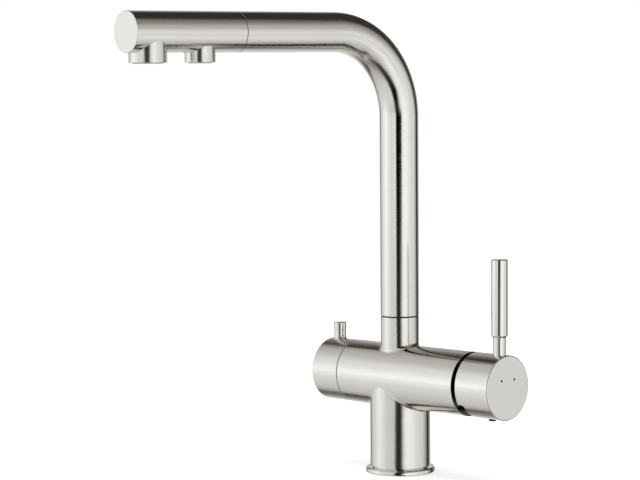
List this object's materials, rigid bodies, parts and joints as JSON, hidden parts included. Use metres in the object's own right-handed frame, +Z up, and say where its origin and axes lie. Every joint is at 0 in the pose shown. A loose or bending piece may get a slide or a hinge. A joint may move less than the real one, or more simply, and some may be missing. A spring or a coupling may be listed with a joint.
{
  "type": "three way filtered water tap",
  "caption": "Deck-mounted three way kitchen tap: cross barrel with a tilting and turning mixer lever, a quarter turn filter knob, and an L spout that swivels and has separate outlets.",
  "frame": {"origin": "centre of the base's underside, on the column's axis and the worktop's surface", "axes": "+Z up along the column, +X along the barrel to the mixer lever, -Y towards the person at the sink"},
  "size_m": [0.169, 0.2622, 0.333],
  "materials": {
    "brushed_nickel": "satin brushed nickel plate on brass",
    "polished_nickel": "polished nickel plate",
    "brass": "machined brass",
    "ceramic": "lapped alumina ceramic",
    "black_rubber": "moulded EPDM rubber",
    "black_plastic": "turned acetal",
    "cartridge_plastic": "moulded acetal",
    "insert_plastic": "moulded acetal and polyethylene",
    "steel": "turned stainless steel",
    "hot_mark": "dark enamel inlay",
    "cold_mark": "dark enamel inlay"
  },
  "bodies": {
    "tap_body": {"body_casting": "brushed_nickel", "base_ring": "polished_nickel", "base_gasket": "black_rubber", "neck_glide_ring": "black_plastic", "spout_lock_screw": "steel", "cartridge_base": "cartridge_plastic", "cartridge_seals": "black_rubber", "cartridge_housing": "cartridge_plastic", "cartridge_fixed_disc": "ceramic", "cartridge_nut": "brass", "dome_ring": "polished_nickel", "valve_housing": "brass", "valve_seal": "black_rubber", "valve_fixed_disc": "ceramic"},
    "spout": {"spout_tube": "brushed_nickel", "spout_head": "brushed_nickel", "head_o_ring": "black_rubber", "filter_inner_tube": "insert_plastic", "swivel_coupling": "brass", "coupling_o_rings": "black_rubber", "main_outlet_housing": "brushed_nickel", "main_outlet_insert": "insert_plastic", "main_outlet_washer": "black_rubber", "filter_outlet_housing": "brushed_nickel", "filter_outlet_insert": "insert_plastic", "filter_outlet_washer": "black_rubber"},
    "temperature_guide": {"lever_guide": "cartridge_plastic", "lever_pivot_pin": "steel"},
    "mixing_disc": {"cartridge_moving_disc": "ceramic", "cartridge_disc_driver": "cartridge_plastic"},
    "mixer_handle": {"handle_cap": "brushed_nickel", "lever_pin": "polished_nickel", "cartridge_lever": "steel", "handle_grub_screw": "steel", "handle_screw_plug": "black_plastic", "hot_index_dot": "hot_mark", "cold_index_dot": "cold_mark"},
    "filter_handle": {"filter_knob": "brushed_nickel", "filter_pin": "polished_nickel", "valve_spindle": "brass", "valve_moving_disc": "ceramic", "filter_knob_screw": "steel"}
  },
  "joints": [
    {"name": "spout_swivel", "type": "hinge", "parent": "tap_body", "child": "spout", "pos_m": [0, 0, 0.1134], "axis": [0, 0, 1], "range_deg": [-173, 187]},
    {"name": "temperature_turn", "type": "hinge", "parent": "tap_body", "child": "temperature_guide", "pos_m": [0.063, 0, 0.07], "axis": [1, 0, 0], "range_deg": [-45, 45]},
    {"name": "flow_tilt", "type": "hinge", "parent": "temperature_guide", "child": "mixer_handle", "pos_m": [0.063, 0, 0.07], "axis": [0, 1, 0], "range_deg": [0, 13]},
    {"name": "disc_slide", "type": "slide", "parent": "temperature_guide", "child": "mixing_disc", "axis": [0, 0, 1], "range_m": [0, 0.0039]},
    {"name": "filter_turn", "type": "hinge", "parent": "tap_body", "child": "filter_handle", "pos_m": [-0.055, 0, 0.07], "axis": [1, 0, 0], "range_deg": [0, 90]}
  ],
  "couplings": [
    {"joint": "disc_slide", "follows": "flow_tilt", "m_per_rad": 0.017}
  ]
}
